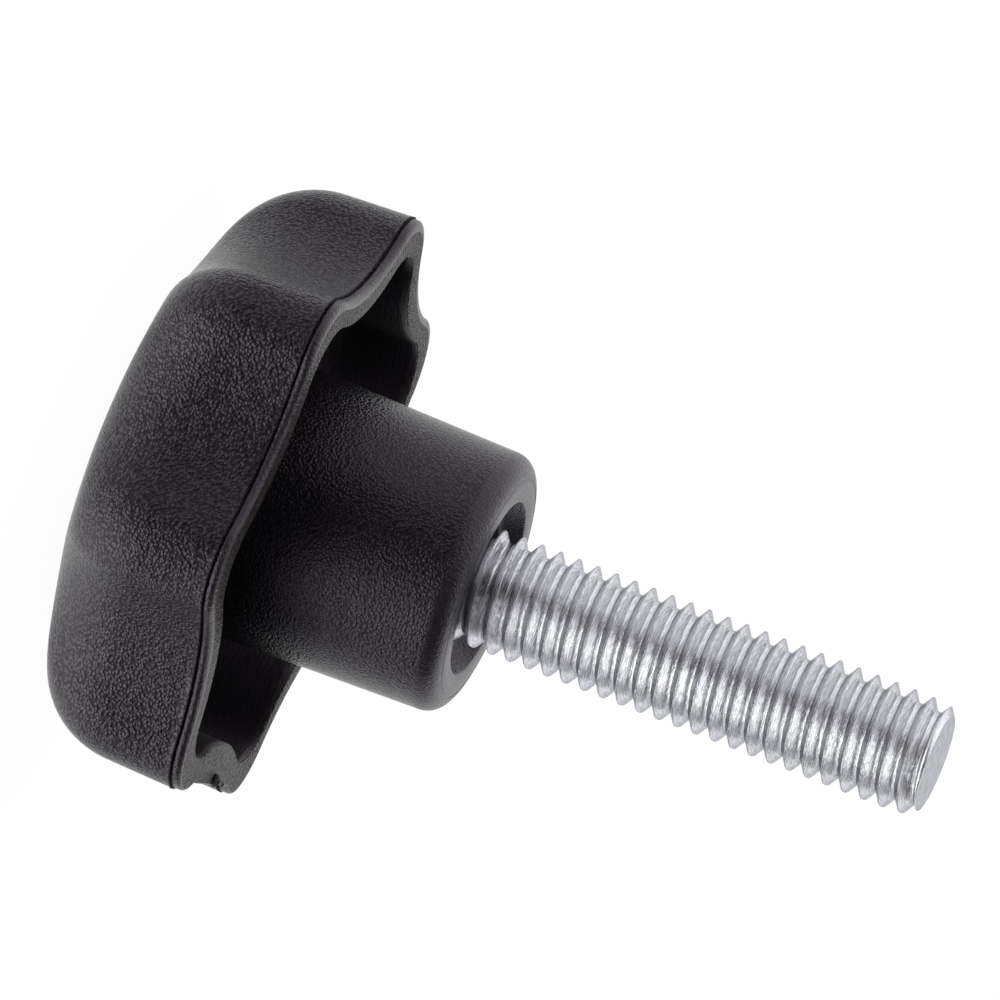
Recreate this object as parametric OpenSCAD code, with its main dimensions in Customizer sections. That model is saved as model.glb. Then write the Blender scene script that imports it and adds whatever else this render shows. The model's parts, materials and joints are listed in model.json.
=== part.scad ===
// Star knob: a hollow seven-lobed moulding with a long hub, moulded around the head of a
// plated steel screw stud. Millimetres, +Z along the stud. The origin is on the axis, in the
// plane of the hub's end face, so the stud rises above z = 0 and the knob hangs below it.

/* [Knob body] */
// Diameter over the lobes, at the parting line
knob_d = 31.7; // [28:0.1:40]
// Height of the moulding, from the crown's flat to the hub's end face
body_h = 19.7; // [18:0.1:26]
// How far the hub stands out beyond the rim
hub_stand = 9.6; // [6:0.1:11]
// Number of lobes
lobes = 7; // [5:1:9]
// Depth of the finger valleys between the lobes
valley_depth = 2.3; // [1.6:0.1:2.8]
// Radius of a lobe's tip, seen along the axis
lobe_r = 3.2; // [2.8:0.1:3.8]
// Draft of the skirt above the parting line, in degrees
skirt_draft = 2.7; // [1:0.1:4]

/* [Crown] */
// Diameter of the flat in the middle of the crown
crown_flat_d = 12; // [8:0.5:16]
// Radius of the shallow dome around the flat
crown_r = 44; // [38:1:60]
// Radius of the shoulder between the dome and the skirt
shoulder_r = 5.2; // [4:0.1:6]

/* [Rim and cavity] */
// Height of the smooth lip between the parting line and the rim's face
lip_h = 0.55; // [0.5:0.05:1]
// Radius of the lip's outer edge
lip_r = 0.5; // [0.2:0.05:0.5]
// Wall of the skirt at the tip of a lobe
lobe_wall = 2; // [1.6:0.1:2.4]
// Wall of the skirt at the foot of a valley
valley_wall = 1.7; // [1.4:0.1:2]
// Radius of the cavity's outline inside a lobe
cavity_lobe_r = 2.9; // [2.4:0.1:3.2]
// Draft of the cavity's wall, in degrees
cavity_draft = 1; // [0.5:0.1:2]
// Thickness of the crown over the cavity
crown_wall = 2.4; // [1.8:0.1:3.5]

/* [Hub] */
// Diameter of the hub at its end face
hub_d = 13.6; // [12.6:0.1:15]
// Draft of the hub, in degrees
hub_draft = 1.4; // [0.5:0.1:2]
// Radius of the hub's outer edge
hub_edge_r = 1.1; // [0.5:0.1:1.5]
// Diameter of the recess around the stud, at the hub's end face
recess_d = 9.1; // [8.4:0.1:9.8]
// Diameter of the recess at its floor
recess_floor_d = 8.3; // [8:0.1:8.4]
// Depth of the recess
recess_depth = 1; // [0.6:0.1:2]
// Diameter of the pocket in the recess floor where the thread comes out
pocket_d = 7.2; // [6.8:0.1:7.6]
// Depth of that pocket below the recess floor
pocket_depth = 0.6; // [0.4:0.1:1]

/* [Stud] */
// Outer diameter of the metric thread
thread_d = 6; // [5:0.5:6]
// Pitch of the thread, which sets the plain neck that the thread is rolled from
thread_pitch = 1; // [0.8, 1]
// Length of the stud beyond the hub's end face
stud_l = 24; // [10:0.5:50]
// Chamfer at the stud's tip
tip_chamfer = 0.8; // [0.3:0.1:1]
// Width across the flats of the stud's hexagonal head
head_af = 10; // [8:0.5:10.5]
// Height of the stud's head
head_h = 4; // [2.5:0.5:5]
// Plastic between the stud's head and the cavity side of the crown
head_cover = 1.8; // [1:0.1:2.4]
// Shrinkage gap between the moulding and the stud that it holds
shrink_gap = 0.02; // [0:0.01:0.05]

/* [Hidden] */

plastic_black = [0.13, 0.125, 0.14];
zinc_plate = [0.74, 0.77, 0.8];

// Levels along the axis, downwards from the hub's end face
rim_z = -hub_stand;
parting_z = rim_z - lip_h;
crown_flat_r = crown_flat_d / 2;
crown_sag = crown_r - sqrt(pow(crown_r, 2) - pow(crown_flat_r, 2));
crown_flat_z = -body_h;
crown_apex_z = crown_flat_z - crown_sag;
cavity_apex_z = crown_apex_z + crown_wall;
head_z = cavity_apex_z + head_cover;

// Outline of the outside at the parting line, and of the cavity at the rim
half_pitch = 180 / lobes;
tip_r = knob_d / 2;
foot_r = tip_r - valley_depth;
cavity_tip_r = tip_r - lobe_wall;
cavity_foot_r = foot_r - valley_wall;

// Hub
hub_r = hub_d / 2;
hub_root_z = cavity_apex_z;
hub_root_r = hub_r - (hub_root_z + hub_edge_r) * tan(hub_draft);

// Stud: the neck has the thread's mean diameter, and the thread starts at the hub's end face
neck_r = (thread_d - 0.65 * thread_pitch) / 2;
thread_r = thread_d / 2;

// Steps around the outline and along the section
VALLEY_STEPS = 3;
LOBE_STEPS = 12;
DOME_STEPS = 4;
SHOULDER_STEPS = 8;
LIP_STEPS = 3;
CAVITY_DOME_STEPS = 2;
CAVITY_SHOULDER_STEPS = 4;
EPS = 0.01;

function dir(a) = [cos(a), sin(a)];
function turned(p, a) = [p.x * cos(a) - p.y * sin(a), p.x * sin(a) + p.y * cos(a)];
function steps(from, to, n) = [for (i = [0:n]) from + (to - from) * i / n];

// Radius of the valley's arc that touches the lobes on both sides and just reaches foot_r
function valley_arc_r(tip, foot, lobe) =
    let (c = tip - lobe)
    (c * c + foot * foot - 2 * c * foot * cos(half_pitch) - lobe * lobe)
        / (2 * (lobe - foot + c * cos(half_pitch)));

// Star outline of tangent arcs, lobe by lobe, starting in the valley on +X
function star(tip, foot, lobe) =
    let (
        valley = valley_arc_r(tip, foot, lobe),
        lobe_c = tip - lobe,
        valley_c = foot + valley,
        lobe_turn = atan2(valley_c * sin(half_pitch), valley_c * cos(half_pitch) - lobe_c),
        valley_turn = lobe_turn - half_pitch,
        rising = steps(0, valley_turn, VALLEY_STEPS),
        cap = steps(-lobe_turn, lobe_turn, LOBE_STEPS)
    )
    [for (i = [0:lobes - 1]) let (a0 = 2 * half_pitch * i) each concat(
        [for (j = [0:VALLEY_STEPS - 1])
            turned([valley_c - valley * cos(rising[j]), valley * sin(rising[j])], a0)],
        [for (b = cap)
            turned(lobe_c * dir(half_pitch) + lobe * dir(half_pitch + b), a0)],
        [for (j = [VALLEY_STEPS - 1:-1:1])
            turned([valley_c - valley * cos(rising[j]), -valley * sin(rising[j])], a0 + 2 * half_pitch)]
    )];

// Section of a domed cap in [radius, z], from first_r to the foot of its wall: a dome, a
// shoulder that touches dome and wall, and a wall that leans in by the draft
function cap_section(wall_r, wall_z, first_r, dome, apex_z, shoulder, draft, n_dome, n_shoulder) =
    let (
        dome_z = apex_z + dome,
        reach = dome - shoulder,
        slope = tan(draft),
        offset_r = wall_r - wall_z * slope - shoulder / cos(draft),
        qa = 1 + slope * slope,
        qb = offset_r * slope - dome_z,
        qc = offset_r * offset_r + dome_z * dome_z - reach * reach,
        shoulder_z = (-qb - sqrt(qb * qb - qa * qc)) / qa,
        shoulder_c = offset_r + slope * shoulder_z,
        join = asin(shoulder_c / reach),
        first = asin(first_r / dome)
    )
    concat(
        [for (a = steps(first, join, n_dome)) [dome * sin(a), dome_z - dome * cos(a)]],
        [for (i = [1:n_shoulder]) let (a = join + (90 - draft - join) * i / n_shoulder)
            [shoulder_c + shoulder * sin(a), shoulder_z - shoulder * cos(a)]],
        [[wall_r, wall_z]]
    );

// The rounded lip from the parting line up to the rim's flat face
function lip_section(wall_r) = [for (i = [1:LIP_STEPS]) let (a = 90 * i / LIP_STEPS)
    [wall_r - lip_r * (1 - cos(a)), rim_z - lip_r * (1 - sin(a))]];

function reversed(list) = [for (i = [len(list) - 1:-1:0]) list[i]];
function around(section, a) = [for (p = section) [p[0] * cos(a), p[0] * sin(a), p[1]]];

// Lobed shell: one closed skin that runs from the crown over the rim and into the cavity.
// Each column of points stands over one point of the star outlines.
module lobed_shell() {
    outside = star(tip_r, foot_r, lobe_r);
    inside = star(cavity_tip_r, cavity_foot_r, cavity_lobe_r);
    columns = [for (i = [0:len(outside) - 1]) concat(
        around(concat(
            cap_section(norm(outside[i]), parting_z, crown_flat_r, crown_r, crown_apex_z,
                shoulder_r, skirt_draft, DOME_STEPS, SHOULDER_STEPS),
            lip_section(norm(outside[i]))),
            atan2(outside[i].y, outside[i].x)),
        around(reversed(cap_section(norm(inside[i]), rim_z, hub_r / 2, crown_r - crown_wall,
            cavity_apex_z, shoulder_r - lobe_wall, cavity_draft,
            CAVITY_DOME_STEPS, CAVITY_SHOULDER_STEPS)),
            atan2(inside[i].y, inside[i].x))
    )];
    n = len(columns);
    m = len(columns[0]);
    polyhedron(
        points = [for (column = columns) each column],
        faces = concat(
            [for (i = [0:n - 1], j = [0:m - 2]) let (k = (i + 1) % n)
                [i * m + j, i * m + j + 1, k * m + j + 1, k * m + j]],
            [[for (i = [0:n - 1]) i * m]],
            [[for (i = [n - 1:-1:0]) i * m + m - 1]]
        ),
        convexity = 6
    );
}

// Hub with draft and a rounded outer edge, rooted in the crown
module hub() {
    edge_r = hub_r - hub_edge_r;
    rotate_extrude($fn = 96) {
        polygon([[0, hub_root_z], [hub_root_r, hub_root_z], [hub_r, -hub_edge_r],
            [edge_r, 0], [0, 0]]);
        translate([edge_r, -hub_edge_r]) circle(hub_edge_r, $fn = 48);
    }
}

// One moulding: lobed shell, hub, the recess around the stud and the seat of its head
module knob_body() {
    color(plastic_black) difference() {
        union() {
            lobed_shell();
            hub();
        }
        translate([0, 0, -recess_depth])
            cylinder(d1 = recess_floor_d, d2 = recess_d, h = recess_depth, $fn = 96);
        translate([0, 0, -recess_depth - pocket_depth])
            cylinder(d = pocket_d, h = pocket_depth + EPS, $fn = 96);
        stud_form(shrink_gap);
    }
}

// The stud's own form, grown by a gap where the moulding's seat is cut from it
module stud_form(gap) {
    translate([0, 0, head_z - gap])
        cylinder(r = (head_af / 2 + gap) / cos(30), h = head_h + 2 * gap, $fn = 6);
    rotate_extrude($fn = 96) polygon([
        [0, head_z + head_h / 2],
        [neck_r + gap, head_z + head_h / 2],
        [neck_r + gap, neck_r - thread_r],
        [thread_r + gap, 0],
        [thread_r + gap, stud_l - tip_chamfer],
        [thread_r + gap - tip_chamfer, stud_l],
        [0, stud_l]
    ]);
}

// Screw stud: zinc-plated steel, hexagonal head inside the hub
module threaded_stud() {
    color(zinc_plate) stud_form(0);
}

knob_body();
threaded_stud();
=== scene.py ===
import json
from math import asin, atan2, ceil, cos, pi, radians, sin, sqrt, tan

import bmesh
import bpy
import numpy as np
from mathutils import Matrix, Vector


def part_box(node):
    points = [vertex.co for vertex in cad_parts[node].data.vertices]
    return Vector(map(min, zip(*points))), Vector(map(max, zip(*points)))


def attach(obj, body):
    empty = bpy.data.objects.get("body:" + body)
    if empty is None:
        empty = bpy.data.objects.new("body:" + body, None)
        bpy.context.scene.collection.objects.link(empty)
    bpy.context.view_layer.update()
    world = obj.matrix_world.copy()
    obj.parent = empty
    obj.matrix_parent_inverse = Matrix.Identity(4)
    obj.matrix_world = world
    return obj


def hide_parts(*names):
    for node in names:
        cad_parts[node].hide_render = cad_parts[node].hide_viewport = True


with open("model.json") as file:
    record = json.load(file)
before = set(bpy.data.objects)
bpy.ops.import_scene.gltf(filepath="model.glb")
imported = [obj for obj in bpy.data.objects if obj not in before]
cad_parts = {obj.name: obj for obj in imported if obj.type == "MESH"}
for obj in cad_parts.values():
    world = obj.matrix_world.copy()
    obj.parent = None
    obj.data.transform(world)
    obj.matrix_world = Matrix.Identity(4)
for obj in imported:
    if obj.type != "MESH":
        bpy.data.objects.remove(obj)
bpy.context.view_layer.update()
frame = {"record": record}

# ---------------------------------------------------------------------------------------
# Knob body
# One injection moulding in black ABS: a hollow skirt with seven lobes under a shallow dome,
# and a long tapered hub. The mould halves met at the parting line near the rim, and the
# plastic came in through a tab in one of the valleys.
# ---------------------------------------------------------------------------------------
# Sizes are in millimetres, and link_mesh turns them to metres
MM = 0.001
mounts = {mount["name"]: mount for mount in frame["record"]["mounts"]}
crown_z = mounts["crown_rest"]["pos_m"][2] / MM
body_low, body_high = (np.array(corner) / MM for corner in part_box("knob_body"))

# Skirt: it is smaller than the frame's knob by the reach of the flash
lobes = 7
half_pitch = pi / lobes
flash_reach = 0.05
lobe_tip_r = -body_low[0] - flash_reach
valley_depth = 2.3
valley_foot_r = lobe_tip_r - valley_depth
lobe_r = 3.2
rim_z = crown_z + 10.1
lip_height = 0.55
parting_z = rim_z - lip_height
skirt_draft = radians(2.7)
crown_flat_r = 6.0
crown_flat_rings = 0.4, 2.0, 4.0, 5.4
crown_r = 44.0
crown_apex_z = crown_z - (crown_r - sqrt(crown_r ** 2 - crown_flat_r ** 2))
shoulder_r = 5.2

# Cavity
lobe_wall = 2.0
valley_wall = 1.7
crown_wall = 2.4
cavity_lobe_r = 2.9
cavity_draft = radians(1)
rim_edge_r = 0.06
hub_fillet = 0.6
hub_fillet_margin = 0.4

# Hub, the recess around the stud and the bore that holds the stud's neck
hub_r = 6.8
hub_taper = tan(radians(1.4))
hub_edge_r = 1.1
core_line_r = 5.78
core_line_depth = 0.05
face_ring_r = 5.2
recess_r = 4.55
recess_floor_r = 4.15
recess_depth = 1.0
recess_edge = 0.06
pocket_r = 3.6
pocket_depth = 0.6
bore_r = 2.7
bore_depth = 11.89

# Lip: set in by the step between the mould halves, and straight at the gate's tab
mould_step = 0.07
lip_r = 0.5
lip_rounding_height = 0.26
gate_lip_r = 0.15
gate_blend_degrees = 24, 36
gate_tab_x = 14.05
gate_tab_y = -3.6, 4.0
gate_tab_edge_r = 0.05

# Parting line: a worn edge on one mould half, and the crevice behind it
flash_height = 0.07
flash_shoulder = 0.4
crevice_depth = 0.22
crevice_least = 0.4
crevice_width = 0.11

# Points on a valley's side and over a lobe, then rows over the dome, shoulder and wall
outline_steps = 26, 36
skirt_steps = 8, 22, 10
cavity_steps = 5, 9, 8
lip_steps = 9
hub_steps = 24
hub_edge_steps = 10
# Rows this close to an edge keep it crisp under smooth shading
hair = 0.005


def star_outline(tip, foot, lobe):
    """Angles and radii of a star of tangent arcs, from the valley on +X once around."""
    valley_steps, lobe_steps = outline_steps
    lobe_c = tip - lobe
    valley = (lobe_c ** 2 + foot ** 2 - 2 * lobe_c * foot * cos(half_pitch) - lobe ** 2) \
        / (2 * (lobe - foot + lobe_c * cos(half_pitch)))
    valley_c = foot + valley
    lobe_turn = atan2(valley_c * sin(half_pitch), valley_c * cos(half_pitch) - lobe_c)
    rising = np.linspace(0, lobe_turn - half_pitch, valley_steps, endpoint=False)
    cap = half_pitch + np.linspace(-lobe_turn, lobe_turn, lobe_steps)
    side_x, side_y = valley_c - valley * np.cos(rising), valley * np.sin(rising)
    cap_x = lobe_c * cos(half_pitch) + lobe * np.cos(cap)
    cap_y = lobe_c * sin(half_pitch) + lobe * np.sin(cap)
    side_angle, side_radius = np.arctan2(side_y, side_x), np.hypot(side_x, side_y)
    angle = np.concatenate([side_angle, np.arctan2(cap_y, cap_x),
                            2 * half_pitch - side_angle[:0:-1]])
    radius = np.concatenate([side_radius, np.hypot(cap_x, cap_y), side_radius[:0:-1]])
    turns = np.arange(lobes)[:, None] * 2 * half_pitch
    return (angle + turns).ravel(), np.tile(radius, lobes)


def domed_section(wall_r, wall_z, first_r, dome, apex_z, shoulder, draft, steps):
    """Rows of radius and height from first_r over a dome and a shoulder to the wall's foot."""
    dome_z = apex_z + dome
    slope = tan(draft)
    reach = dome - shoulder
    # The shoulder's arc touches the dome inside and the drafted wall, a quadratic in its height
    offset = wall_r - wall_z * slope - shoulder / cos(draft)
    qa = 1 + slope ** 2
    qb = offset * slope - dome_z
    qc = offset ** 2 + dome_z ** 2 - reach ** 2
    shoulder_z = (-qb - np.sqrt(qb * qb - qa * qc)) / qa
    shoulder_c = offset + slope * shoulder_z
    join = np.arcsin(shoulder_c / reach)
    start = asin(first_r / dome)
    dome_steps, shoulder_steps, wall_steps = steps
    section = []
    for u in np.linspace(0, 1, dome_steps, endpoint=False):
        a = start + (join - start) * u
        section.append((dome * np.sin(a), dome_z - dome * np.cos(a)))
    for u in np.linspace(0, 1, shoulder_steps):
        a = join + (pi / 2 - draft - join) * u
        section.append((shoulder_c + shoulder * np.sin(a), shoulder_z - shoulder * np.cos(a)))
    foot_of_arc = section[-1]
    for u in np.linspace(0, 1, wall_steps + 1)[1:]:
        section.append(tuple(p + (q - p) * u for p, q in zip(foot_of_arc, (wall_r, wall_z))))
    return section


def uneven(angle, seed, waves):
    """A smooth uneven line from 0 to 1 around the knob, the same on each run."""
    rng = np.random.default_rng(seed)
    line = sum(rng.uniform(0.4, 1) * np.sin(k * angle + rng.uniform(0, 2 * pi)) for k in waves)
    return (line - line.min()) / (line.max() - line.min())


def ring(r, z, angle):
    """A ring of points; its radius and height may differ around it."""
    r, z, angle = np.broadcast_arrays(r, z, angle)
    return np.column_stack([r * np.cos(angle), r * np.sin(angle), z])


def ring_faces(rings, around, first=0):
    """Four-sided faces between rings that follow each other."""
    i = np.arange(around)
    j = (i + 1) % around
    k = first + np.arange(rings - 1)[:, None] * around
    quads = np.stack([k + i, k + j, k + around + j, k + around + i], axis=2)
    return quads.reshape(-1, 4).tolist()


def link_mesh(name, points_mm, faces):
    """An object with a smooth mesh from points in millimetres and lists of corners."""
    mesh = bpy.data.meshes.new(name)
    mesh.from_pydata((np.asarray(points_mm) * MM).tolist(), [], faces)
    mesh.shade_smooth()
    piece = bpy.data.objects.new(name, mesh)
    bpy.context.scene.collection.objects.link(piece)
    return piece


def linear(hex_colour):
    """An sRGB hex colour as linear red, green, blue and alpha."""
    channels = [int(hex_colour[k:k + 2], 16) / 255 for k in (1, 3, 5)]
    return [c / 12.92 if c <= 0.04045 else ((c + 0.055) / 1.055) ** 2.4 for c in channels] + [1]


def add_node(tree, kind, sockets=None, **settings):
    """Adds a node, sets its settings, and sets or links its input sockets."""
    made = tree.nodes.new(kind)
    for name, value in settings.items():
        setattr(made, name, value)
    for name, value in (sockets or {}).items():
        if isinstance(value, bpy.types.NodeSocket):
            tree.links.new(value, made.inputs[name])
        else:
            made.inputs[name].default_value = value
    return made


def new_material(name):
    """A material with an empty node tree, and that tree."""
    material = bpy.data.materials.new(name)
    material.use_nodes = True
    material.node_tree.nodes.clear()
    return material, material.node_tree


# Columns of points: the outside's outline, the cavity's outline, and even ones for the hub
outer_angle, outer_r = star_outline(lobe_tip_r, valley_foot_r, lobe_r)
inner_angle, inner_r = star_outline(lobe_tip_r + flash_reach - lobe_wall,
                                    valley_foot_r + flash_reach - valley_wall, cavity_lobe_r)
columns = len(outer_angle)
even_angle = np.arange(columns) * 2 * pi / columns

# Crown and skirt
crown_rows = [(r, crown_z) for r in crown_flat_rings]
crown_rows += domed_section(outer_r, parting_z - flash_height, crown_flat_r, crown_r,
                            crown_apex_z, shoulder_r, skirt_draft, skirt_steps)

# Parting line: the edge stands out most where the mould is worn
flash = flash_reach * uneven(outer_angle, seed=4, waves=(3, 8, 17, 31, 55, 83)) ** 2
crevice_share = uneven(outer_angle, seed=9, waves=(5, 13, 29, 47, 71))
crevice = crevice_depth * (crevice_least + (1 - crevice_least) * crevice_share)
crevice_top = parting_z + crevice_width
crevice_r = outer_r - crevice - mould_step
parting_rows = [(outer_r + flash, parting_z - flash_shoulder * flash_height),
                (outer_r + flash, parting_z - hair),
                (outer_r + flash - 2 * hair, parting_z),
                (crevice_r, parting_z + hair),
                (crevice_r, crevice_top - 2 * hair)]

# Lip: a straight edge across one valley is the tab that the gate was cut from
tab_y = gate_tab_x * np.tan(outer_angle)
tab_r = gate_tab_x / np.cos(outer_angle)
lip_foot_r = outer_r - mould_step
on_tab = (tab_r > lip_foot_r) & (tab_y > gate_tab_y[0]) & (tab_y < gate_tab_y[1])
lip_foot_r = np.where(on_tab, tab_r, lip_foot_r)
from_gate = np.degrees(np.abs((outer_angle + pi) % (2 * pi) - pi))
lip_rounding = np.interp(from_gate, gate_blend_degrees, (gate_lip_r, lip_r))
lip_rounding = np.where(on_tab, gate_tab_edge_r, lip_rounding)
lip_rows = [(lip_foot_r - 2 * hair, crevice_top), (lip_foot_r, crevice_top + 2 * hair)]
for a in np.linspace(0, pi / 2, lip_steps):
    lip_rows.append((lip_foot_r - lip_rounding * (1 - cos(a)),
                     rim_z - np.minimum(lip_rounding, lip_rounding_height) * (1 - sin(a))))

# Rim and cavity, down to the root of the hub
rim_rows = [(inner_r + rim_edge_r, rim_z), (inner_r, rim_z - rim_edge_r)]
cavity_rows = domed_section(inner_r, rim_z - rim_edge_r, hub_r + hub_fillet_margin + hub_fillet,
                            crown_r - crown_wall, crown_apex_z + crown_wall,
                            shoulder_r - lobe_wall, cavity_draft, cavity_steps)[-2::-1]

# Hub with its rounded edge, and the line that the core pin left on its end face
hub_root_z = float(np.mean(cavity_rows[-1][1])) + hub_fillet
hub_rows = [(hub_r - (z + hub_edge_r) * hub_taper, z)
            for z in np.linspace(hub_root_z, -hub_edge_r, hub_steps)]
edge_rows = [(hub_r - hub_edge_r * (1 - cos(a)), -hub_edge_r * (1 - sin(a)))
             for a in np.linspace(0, pi / 2, hub_edge_steps)[1:-1]]
edge_rows += [(core_line_r + 0.6 * core_line_depth, -hair), (core_line_r, -core_line_depth),
              (core_line_r - core_line_depth, 0.0)]

# Recess and pocket with slightly broken edges, then the bore around the stud's neck
recess_floor_z = -recess_depth
pocket_z = -recess_depth - pocket_depth
recess_rows = [(face_ring_r, 0.0),
               (recess_r + recess_edge, 0.0),
               (recess_r + recess_edge / 6, -recess_edge / 3),
               (recess_r - recess_edge / 3, -recess_edge * 4 / 3),
               (recess_floor_r + recess_edge / 2, recess_floor_z + recess_edge),
               (recess_floor_r - recess_edge * 2 / 3, recess_floor_z),
               (pocket_r + 10 * hair, recess_floor_z),
               (pocket_r, recess_floor_z - 10 * hair),
               (pocket_r, pocket_z),
               (bore_r, pocket_z),
               (bore_r, -bore_depth)]

zones = [("grained", crown_rows, outer_angle), ("torn", parting_rows, outer_angle),
         ("smooth", lip_rows, outer_angle), ("cut", rim_rows, inner_angle),
         ("drawn", cavity_rows, inner_angle), ("fine", hub_rows, even_angle),
         ("smooth", edge_rows, even_angle), ("smooth", recess_rows, even_angle)]
rings = [ring(r, z, angle) for finish, rows, angle in zones for r, z in rows]
ring_finish = [finish for finish, rows, angle in zones for row in rows]
crown_cap = list(range(columns))[::-1]
bore_cap = list(range((len(rings) - 1) * columns, len(rings) * columns))
knob = link_mesh("knob_body_moulding", np.concatenate(rings),
                 ring_faces(len(rings), columns) + [crown_cap, bore_cap])


def moulded_abs(name, grain_mm, depth_mm, roughness, pit_shade=0.0, along=(1, 1, 1),
                ends_at=None, colour="#151217"):
    """Black ABS as the mould leaves it: a dense pebbled grain from a spark-eroded surface, or
    the faint marks of a plain one. The pebbles' tops shine softly, and painted shade lowers the
    specular level in the pits between them, for the shade that the bumps can't cast; a few
    rubbed specks are paler. Grain is as wide as the real one, but deeper, to show."""
    material, tree = new_material(name)
    place = add_node(tree, "ShaderNodeTexCoord")
    stretched = add_node(tree, "ShaderNodeVectorMath", {
        0: place.outputs["Object"], 1: along}, operation="MULTIPLY")
    # The pebbles' walls wander by most of a grain, so that no two are alike
    wander = add_node(tree, "ShaderNodeTexNoise", {
        "Vector": stretched.outputs[0], "Scale": 1 / (1.2 * grain_mm * MM), "Detail": 2})
    shift = add_node(tree, "ShaderNodeVectorMath", {
        0: wander.outputs["Color"], 1: (0.8 * grain_mm * MM,) * 3}, operation="MULTIPLY")
    bent = add_node(tree, "ShaderNodeVectorMath", {
        0: stretched.outputs[0], 1: shift.outputs[0]}, operation="ADD")
    pebbles = add_node(tree, "ShaderNodeTexVoronoi", {
        "Vector": bent.outputs[0], "Scale": 1 / (grain_mm * MM), "Smoothness": 0.3},
        feature="SMOOTH_F1")
    grit = add_node(tree, "ShaderNodeTexNoise", {
        "Vector": stretched.outputs[0], "Scale": 1 / (0.6 * grain_mm * MM), "Detail": 2})
    fine_bump = add_node(tree, "ShaderNodeBump", {
        "Height": grit.outputs["Fac"], "Distance": 0.6 * depth_mm * MM})
    bump = add_node(tree, "ShaderNodeBump", {
        "Height": pebbles.outputs["Distance"], "Distance": depth_mm * MM,
        "Normal": fine_bump.outputs[0]}, invert=True)
    # Between these two heights the grain wears down
    if ends_at:
        part = add_node(tree, "ShaderNodeSeparateXYZ", {0: place.outputs["Object"]})
        worn = add_node(tree, "ShaderNodeMapRange", {
            "Value": part.outputs["Z"], "From Min": ends_at[0] * MM,
            "From Max": ends_at[1] * MM, "To Min": 1.0, "To Max": 0.35})
        tree.links.new(worn.outputs[0], bump.inputs["Strength"])
    # One rubbed speck in a quarter of the cells of 1.6 mm, up to 0.07 of a cell in radius
    specks = add_node(tree, "ShaderNodeTexVoronoi", {
        "Vector": place.outputs["Object"], "Scale": 1 / (1.6 * MM)})
    chosen = add_node(tree, "ShaderNodeSeparateXYZ", {0: specks.outputs["Color"]})
    speck_r = add_node(tree, "ShaderNodeMapRange", {
        "Value": chosen.outputs["X"], "From Min": 0.75, "From Max": 1.0,
        "To Min": 0.0, "To Max": 0.07})
    rubbed = add_node(tree, "ShaderNodeMath", {
        0: specks.outputs["Distance"], 1: speck_r.outputs[0]}, operation="LESS_THAN")
    tone = add_node(tree, "ShaderNodeMix", {
        "Factor": rubbed.outputs[0], "A": linear(colour), "B": linear("#5f5a63")},
        data_type="RGBA")
    # Painted shade: the specular level drops by pit_shade in the pits between the pebbles
    shine = add_node(tree, "ShaderNodeMapRange", {
        "Value": pebbles.outputs["Distance"], "From Min": 0.2, "From Max": 0.6,
        "To Min": 0.57, "To Max": 0.57 - pit_shade})
    shader = add_node(tree, "ShaderNodeBsdfPrincipled", {
        "Base Color": tone.outputs["Result"], "Roughness": roughness, "IOR": 1.53,
        "Specular IOR Level": shine.outputs[0],
        "Specular Tint": linear("#fbecff"), "Normal": bump.outputs[0]})
    add_node(tree, "ShaderNodeOutputMaterial", {"Surface": shader.outputs[0]})
    return material


finishes = {
    # Spark-eroded mould: pebbles that fade out at the worn edge of the parting line
    "grained": moulded_abs("abs_spark_grained", grain_mm=0.165, depth_mm=0.06, roughness=0.2,
                           pit_shade=0.4, ends_at=(parting_z - 0.6, parting_z - 0.1)),
    # Finer erosion on the hub's sleeve
    "fine": moulded_abs("abs_fine_grained", grain_mm=0.15, depth_mm=0.032, roughness=0.25,
                        pit_shade=0.28),
    # Plain turned steel: even and satin
    "smooth": moulded_abs("abs_plain_mould", grain_mm=0.15, depth_mm=0.03, roughness=0.34,
                          pit_shade=0.1),
    # The cavity's turned core: long faint marks around the axis. Its base colour is paler than
    # the outside's: painted light for the lit far wall of the cavity
    "drawn": moulded_abs("abs_turned_core", grain_mm=0.12, depth_mm=0.014, roughness=0.42,
                         along=(0.15, 0.15, 1), colour="#2b272c"),
    # The rim's face, from a milled plate of the mould: coarse and slightly brown
    "cut": moulded_abs("abs_milled_face", grain_mm=0.16, depth_mm=0.16, roughness=0.42,
                       pit_shade=0.5, colour="#2a2421"),
    # Plastic torn as the mould opened: rough and dull, with strong painted shade in its pits
    "torn": moulded_abs("abs_torn_flash", grain_mm=0.1, depth_mm=0.08, roughness=0.6,
                        pit_shade=0.5),
}
finish_index = {finish: n for n, finish in enumerate(finishes)}
for material in finishes.values():
    knob.data.materials.append(material)
face_finish = np.repeat([finish_index[finish] for finish in ring_finish[1:]], columns).tolist()
face_finish += [finish_index["grained"], finish_index["smooth"]]
knob.data.polygons.foreach_set("material_index", face_finish)
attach(knob, "root")
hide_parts("knob_body")

# ---------------------------------------------------------------------------------------
# Flash
# The thin ragged fin of ABS that was pressed into the gap between the mould halves. It stands
# on the parting line right around the knob, longer in places where the mould is worn.
# ---------------------------------------------------------------------------------------
fin_columns = 2800
fin_least = 0.01
fin_wear = 0.09
fin_root = 0.06
fin_thickness = 0.05
fin_sway = 0.03
fin_drop = 0.01
burrs = 40
burr_columns = 3
burr_length = 0.03, 0.12

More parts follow.
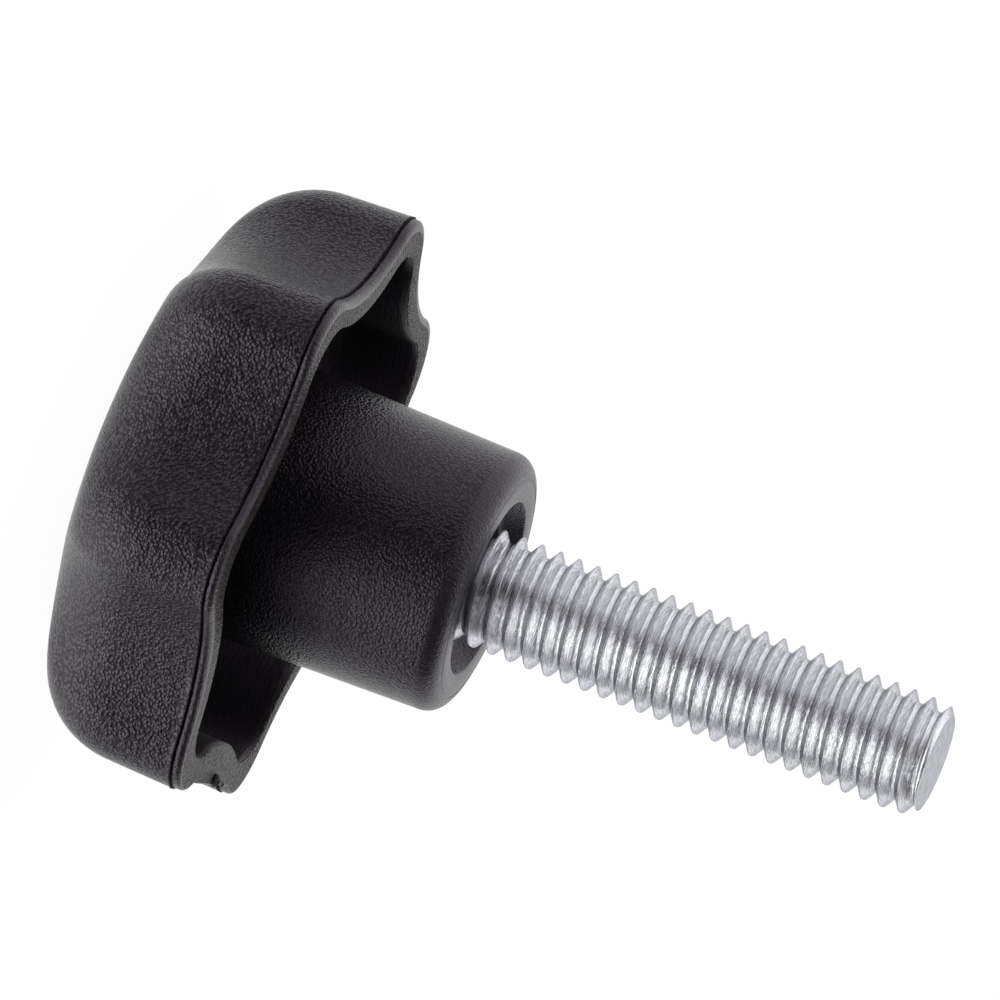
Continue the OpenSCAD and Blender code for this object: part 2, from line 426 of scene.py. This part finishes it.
fin_angle = np.arange(fin_columns) * 2 * pi / fin_columns
fin_r = np.interp(fin_angle, outer_angle, outer_r, period=2 * pi)
rng = np.random.default_rng(21)
ragged = np.repeat(rng.random(fin_columns // 2), 2) ** 2 * rng.uniform(0.5, 1, fin_columns)
worn = uneven(fin_angle, seed=3, waves=(4, 9, 23, 41, 67, 101)) ** 2
fin_length = fin_least + fin_wear * worn * ragged
for at in rng.choice(fin_columns, burrs, replace=False):
    fin_length[at:at + burr_columns] += rng.uniform(*burr_length)
fin_tip_z = parting_z - fin_drop \
    + fin_sway * uneven(fin_angle, seed=8, waves=(6, 19, 37, 83, 131))
fin_rings = [ring(fin_r - fin_root, parting_z - fin_thickness, fin_angle),
             ring(fin_r + fin_length, fin_tip_z, fin_angle),
             ring(fin_r - fin_root, parting_z + hair, fin_angle)]
# The fin's three-cornered section closes from its last ring back to its first
fin_faces = ring_faces(len(fin_rings), fin_columns)
last = (len(fin_rings) - 1) * fin_columns
for n in range(fin_columns):
    m = (n + 1) % fin_columns
    fin_faces.append((last + n, last + m, m, n))
fin_points = np.clip(np.concatenate(fin_rings), body_low, body_high)
fin = link_mesh("parting_flash", fin_points, fin_faces)
fin.data.materials.append(finishes["torn"])
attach(fin, "root")

# ---------------------------------------------------------------------------------------
# Gate scar
# Where the runner broke off the tab in the valley: a torn spot on the rim's face and a nub at
# the tab's edge. Rough ABS that was never against the mould.
# ---------------------------------------------------------------------------------------
scar_at = 13.8, 0.35, rim_z
scar_r = 0.36
scar_height = 0.34
nub_at = 14.02, 2.65, rim_z - 0.02
nub_r = 0.12
nub_height = 0.1
spot_foot = 0.02
edge_spread = -0.25, 0.15
least_top = 0.45


def torn_spot(centre, radius, height, steps, around, seed, first=0):
    """Points and faces of a low mound with an uneven edge and top, numbered from first."""
    rng = np.random.default_rng(seed)
    turn = np.arange(around) * 2 * pi / around
    edge = radius * (1 + rng.uniform(*edge_spread, around))
    spot = []
    for step in range(steps):
        u = step / steps
        uneven_top = least_top + (1 - least_top) * rng.random(around)
        spot.append(ring(edge * (u + 0.5 / steps), height * uneven_top * sqrt(1 - u * u), turn))
    spot.append(ring(edge, -spot_foot, turn))
    top_cap = list(range(first, first + around))
    foot_cap = list(range(first + steps * around, first + (steps + 1) * around))[::-1]
    outward = [(a, d, c, b) for a, b, c, d in ring_faces(steps + 1, around, first)]
    return np.concatenate(spot) + centre, outward + [top_cap, foot_cap]


scar_points, scar_faces = torn_spot(scar_at, scar_r, scar_height, steps=6, around=26, seed=11)
nub_points, nub_faces = torn_spot(nub_at, nub_r, nub_height, steps=4, around=18, seed=5,
                                  first=len(scar_points))
scar = link_mesh("gate_scar", np.concatenate([scar_points, nub_points]),
                 scar_faces + nub_faces)


def torn_abs(name, tear_mm, depth_mm):
    """ABS torn off at the gate: uneven, dull in the pits and glossy on the stretched edges."""
    material, tree = new_material(name)
    place = add_node(tree, "ShaderNodeTexCoord")
    tears = add_node(tree, "ShaderNodeTexNoise", {
        "Vector": place.outputs["Object"], "Scale": 1 / (tear_mm * MM), "Detail": 4})
    bump = add_node(tree, "ShaderNodeBump", {
        "Height": tears.outputs["Fac"], "Distance": depth_mm * MM})
    gloss = add_node(tree, "ShaderNodeMapRange", {
        "Value": tears.outputs["Fac"], "From Min": 0.35, "From Max": 0.65,
        "To Min": 0.6, "To Max": 0.25})
    shader = add_node(tree, "ShaderNodeBsdfPrincipled", {
        "Base Color": linear("#141214"), "Roughness": gloss.outputs[0], "IOR": 1.53,
        "Normal": bump.outputs[0]})
    add_node(tree, "ShaderNodeOutputMaterial", {"Surface": shader.outputs[0]})
    return material


scar.data.materials.append(torn_abs("abs_torn_at_gate", tear_mm=0.12, depth_mm=0.15))
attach(scar, "root")

# ---------------------------------------------------------------------------------------
# Threaded stud
# Cold-headed steel screw with a rolled M6 x 1 thread, zinc plated and passivated to a bluish
# white. Its hexagonal head and plain neck are moulded into the hub.
# ---------------------------------------------------------------------------------------
pitch = 1.0
stud_r = mounts["stud"]["dims"]["r_mm"]
stud_low, stud_high = (np.array(corner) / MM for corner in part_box("threaded_stud"))
stud_end_z = stud_high[2]
head_z = stud_low[2]
head_height = 4.0
head_apothem = stud_high[1]
# The neck has the thread's mean radius, and the thread is five eighths of a sharp V deep
neck_r = stud_r - 0.325 * pitch
thread_depth = 0.541 * pitch
thread_start = pocket_z
crest_z = 0.29
around = 120

# The chamfer at the end was turned a little off centre, and the last turn is not full
end_r = 2.5
end_run_out = 0.05
end_slope = 1.5
last_turn = 1.6
last_turn_loss = 0.12

# Half of the thread's section from crest to root: shares of the pitch and of the depth. The
# shallow seam along the crest is where the two sides met when the thread was rolled.
half_section = [(0.0, 0.1), (0.012, 0.06), (0.022, 0.0), (0.035, 0.0), (0.05, 0.04),
                (0.062, 0.08), (0.2, 0.46), (0.34, 0.86), (0.355, 0.91), (0.385, 0.965),
                (0.42, 0.99), (0.5, 1.0)]
section = [(-u, depth) for u, depth in half_section[:0:-1]] + half_section[:-1]
per_turn = len(section)

# The hexagonal head and the neck, then the helical grid, cut off at both ends
theta = np.arange(around) * 2 * pi / around
hexagon = head_apothem / np.cos(theta % (pi / 3) - pi / 6)
lines = [ring(r, z, theta) for r, z in (
    (hexagon, head_z), (hexagon, head_z + head_height), (neck_r, head_z + head_height),
    (neck_r, 0.5 * (head_z + thread_start)))]
plain_lines = len(lines)
first_turn = int((thread_start - crest_z) // pitch) - 1
turns = ceil((stud_end_z - thread_start) / pitch) + 4
for turn in range(first_turn, first_turn + turns):
    for u, depth in section:
        z = crest_z + pitch * (turn + u + theta / (2 * pi))
        z = np.clip(z, thread_start, stud_end_z)
        rise = z - thread_start
        r = np.clip(stud_r - thread_depth * depth, neck_r - rise, neck_r + rise)
        r = r - last_turn_loss * np.clip((z - stud_end_z + last_turn) / last_turn, 0, 1)
        chamfer_r = end_r + end_run_out * np.cos(theta) + end_slope * (stud_end_z - z)
        lines.append(ring(np.minimum(r, chamfer_r), z, theta))

# A plain line closes on itself, and a thread's line runs on into the next turn
stud_faces = [list(range(around))[::-1]]
for n in range(len(lines) - 1):
    for i in range(around - 1):
        a = n * around + i
        stud_faces.append((a, a + 1, a + 1 + around, a + around))
    a = n * around + around - 1
    if n < plain_lines:
        stud_faces.append((a, n * around, (n + 1) * around, a + around))
    elif n + 1 + per_turn < len(lines):
        b = (n + per_turn) * around
        stud_faces.append((a, b, b + around, a + around))
stud_faces.append(list(range((len(lines) - 1) * around, len(lines) * around)))
stud = link_mesh("stud_rolled_thread", np.concatenate(lines), stud_faces)

# The grid's parts beyond both ends have no area: their points merge
merge = 0.0005 * MM
form = bmesh.new()
form.from_mesh(stud.data)
bmesh.ops.remove_doubles(form, verts=form.verts, dist=merge)
bmesh.ops.dissolve_degenerate(form, edges=form.edges, dist=merge)
bmesh.ops.recalc_face_normals(form, faces=form.faces)
for face in form.faces:
    face.smooth = len(face.verts) <= 4
form.to_mesh(stud.data)
form.free()


def zinc_plate(name):
    """Steel with a thin zinc plate, passivated bluish white: a soft metallic shine, broken by
    fine marks along the thread where the rolling dies slid over it. Real marks are a few
    hundredths of a millimetre wide, and these are drawn twice as wide, to show."""
    material, tree = new_material(name)
    place = add_node(tree, "ShaderNodeTexCoord")
    along_thread = add_node(tree, "ShaderNodeVectorMath", {
        0: place.outputs["Object"], 1: (0.3, 0.3, 4)}, operation="MULTIPLY")
    marks = add_node(tree, "ShaderNodeTexNoise", {
        "Vector": along_thread.outputs[0], "Scale": 1 / (0.3 * MM), "Detail": 4,
        "Roughness": 0.6})
    streaks = add_node(tree, "ShaderNodeTexNoise", {
        "Vector": along_thread.outputs[0], "Scale": 1 / (0.12 * MM), "Detail": 3})
    mark_bump = add_node(tree, "ShaderNodeBump", {
        "Height": marks.outputs["Fac"], "Distance": 0.04 * MM})
    bump = add_node(tree, "ShaderNodeBump", {
        "Height": streaks.outputs["Fac"], "Distance": 0.012 * MM,
        "Normal": mark_bump.outputs[0]})
    dulled = add_node(tree, "ShaderNodeMapRange", {
        "Value": marks.outputs["Fac"], "From Min": 0.3, "From Max": 0.7,
        "To Min": 0.1, "To Max": 0.24})
    paler = add_node(tree, "ShaderNodeMapRange", {
        "Value": streaks.outputs["Fac"], "From Min": 0.35, "From Max": 0.62})
    tone = add_node(tree, "ShaderNodeMix", {
        "Factor": paler.outputs[0], "A": linear("#cdced3"), "B": linear("#f0f0f4")},
        data_type="RGBA")
    shader = add_node(tree, "ShaderNodeBsdfPrincipled", {
        "Base Color": tone.outputs["Result"], "Metallic": 1.0,
        "Roughness": dulled.outputs[0], "Specular Tint": linear("#b6b8bd"),
        "Normal": bump.outputs[0]})
    add_node(tree, "ShaderNodeOutputMaterial", {"Surface": shader.outputs[0]})
    return material


stud.data.materials.append(zinc_plate("zinc_plated_steel"))
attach(stud, "root")
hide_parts("threaded_stud")

# ---------------------------------------------------------------------------------------
# Light table and tent
# The knob stands on a white light table inside a white cloth tent. Light comes from all
# sides, with a broad lamp shining up from below, and the tent is open to a dark room in front.
# ---------------------------------------------------------------------------------------
table_half = 3000.0
table_gap = 0.02
table_z = crown_z - table_gap
table_corners = [(-table_half, -table_half, table_z), (table_half, -table_half, table_z),
                 (table_half, table_half, table_z), (-table_half, table_half, table_z)]
table = link_mesh("light_table", table_corners, [(0, 1, 2, 3)])


def lit_acrylic(name, shadow_share, glow_strength):
    """White acrylic sheet lit from behind: it glows evenly, and shadows on it are faint."""
    material, tree = new_material(name)
    sheet = add_node(tree, "ShaderNodeBsdfDiffuse", {"Color": linear("#fafafa")})
    glow = add_node(tree, "ShaderNodeEmission", {
        "Color": (1, 1, 1, 1), "Strength": glow_strength})
    lit = add_node(tree, "ShaderNodeMixShader", {
        0: 1 - shadow_share, 1: sheet.outputs[0], 2: glow.outputs[0]})
    add_node(tree, "ShaderNodeOutputMaterial", {"Surface": lit.outputs[0]})
    return material


table.data.materials.append(lit_acrylic("white_acrylic_sheet", 0.07, 1.04))
# The tent's light comes up through the sheet, so only the camera sees it
table.visible_diffuse = False
table.visible_glossy = False
table.visible_transmission = False
table.visible_shadow = False

# Each place on the tent is a direction with two angles in degrees: full up to the first, and
# none from the second. The upper right is nearly unlit, and the top and back are brightest.
front = -0.182, -0.981, -0.073
front_opening = 23, 37
upper_right = 0.691, -0.394, 0.606
unlit_spread = 38, 81
unlit_loss = 0.85
lower_right = 0.487, -0.393, -0.780
lamp_spread = 20, 64
lamp_level = 2.33
cloth_level = 0.95
cloth_slope = -0.08, 0.17, 0.33

world = bpy.data.worlds.new("light_tent")
bpy.context.scene.world = world
world.use_nodes = True
tree = world.node_tree
tree.nodes.clear()
sky = add_node(tree, "ShaderNodeTexCoord").outputs["Generated"]


def arithmetic(operation, first, second):
    """One step of arithmetic on the tent's light."""
    return add_node(tree, "ShaderNodeMath", {0: first, 1: second},
                    operation=operation).outputs[0]


def facing(direction):
    """How much a place on the tent faces a direction: their dot product."""
    return add_node(tree, "ShaderNodeVectorMath", {0: sky, 1: direction},
                    operation="DOT_PRODUCT").outputs["Value"]


def toward(direction, full, none):
    """1 around a direction, falling softly to 0 between two angles in degrees from it."""
    return add_node(tree, "ShaderNodeMapRange", {
        "Value": arithmetic("ARCCOSINE", facing(direction), 0.0),
        "From Min": radians(full), "From Max": radians(none),
        "To Min": 1.0, "To Max": 0.0}, interpolation_type="SMOOTHSTEP").outputs[0]


closed = arithmetic("SUBTRACT", 1.0, toward(front, *front_opening))
lost = arithmetic("MULTIPLY", toward(upper_right, *unlit_spread), unlit_loss)
cover = arithmetic("MULTIPLY", closed, arithmetic("SUBTRACT", 1.0, lost))
cloth = arithmetic("MULTIPLY", arithmetic("ADD", facing(cloth_slope), cloth_level), cover)
lamp = arithmetic("MULTIPLY", toward(lower_right, *lamp_spread), lamp_level)
tent = add_node(tree, "ShaderNodeBackground", {
    "Color": (1, 1, 1, 1), "Strength": arithmetic("ADD", cloth, lamp)})
white = add_node(tree, "ShaderNodeBackground", {"Color": (1, 1, 1, 1), "Strength": 1.0})
ray = add_node(tree, "ShaderNodeLightPath")
seen = add_node(tree, "ShaderNodeMixShader", {
    0: ray.outputs["Is Camera Ray"], 1: tent.outputs[0], 2: white.outputs[0]})
add_node(tree, "ShaderNodeOutputWorld", {"Surface": seen.outputs[0]})

# ---------------------------------------------------------------------------------------
# Camera
# A long lens in front of the tent's opening, a little above the plane of the hub's end face
# and turned so that the stud points to the right and down.
# ---------------------------------------------------------------------------------------
camera_azimuth = radians(267.67)
camera_height = radians(11.21)
camera_distance = 820.0
stud_turn = radians(-0.21)
picture_turn = radians(21.4003)
picture_px = 1000
pixels_per_mm = 20.26
# Pixels along and across the stud, on axes that turn with it in the picture
hub_face_px = 665.0, 369.8
picture_centre_px = 648.0, 283.1
# The point on the axis that hub_face_px marks lies this far below the hub's end face
hub_mark_depth = 0.226

axis = Vector((0, 0, 1))
towards = Vector((cos(camera_azimuth), sin(camera_azimuth), 0))
down = Vector((-sin(camera_azimuth), cos(camera_azimuth), 0))
look_back = axis * sin(camera_height) + towards * cos(camera_height)
tilted_axis = axis * cos(camera_height) - towards * sin(camera_height)
stud_way = tilted_axis * cos(stud_turn) - down * sin(stud_turn)
across = tilted_axis * sin(stud_turn) + down * cos(stud_turn)
picture_right = stud_way * cos(picture_turn) - across * sin(picture_turn)
picture_down = stud_way * sin(picture_turn) + across * cos(picture_turn)
along_px, across_px = np.subtract(hub_face_px, picture_centre_px).tolist()
eye = look_back * camera_distance - axis * hub_mark_depth \
    - stud_way * (along_px / pixels_per_mm) - across * (across_px / pixels_per_mm)

lens = bpy.data.cameras.new("camera")
lens.sensor_width = 36.0
lens.lens = pixels_per_mm * camera_distance * lens.sensor_width / picture_px
lens.clip_start = 0.01
lens.clip_end = 50
camera = bpy.data.objects.new("camera", lens)
turned = Matrix((picture_right, -picture_down, look_back)).transposed()
camera.matrix_world = Matrix.Translation(eye * MM) @ turned.to_4x4()
bpy.context.scene.collection.objects.link(camera)
bpy.context.scene.camera = camera
bpy.context.scene.view_settings.view_transform = "Standard"
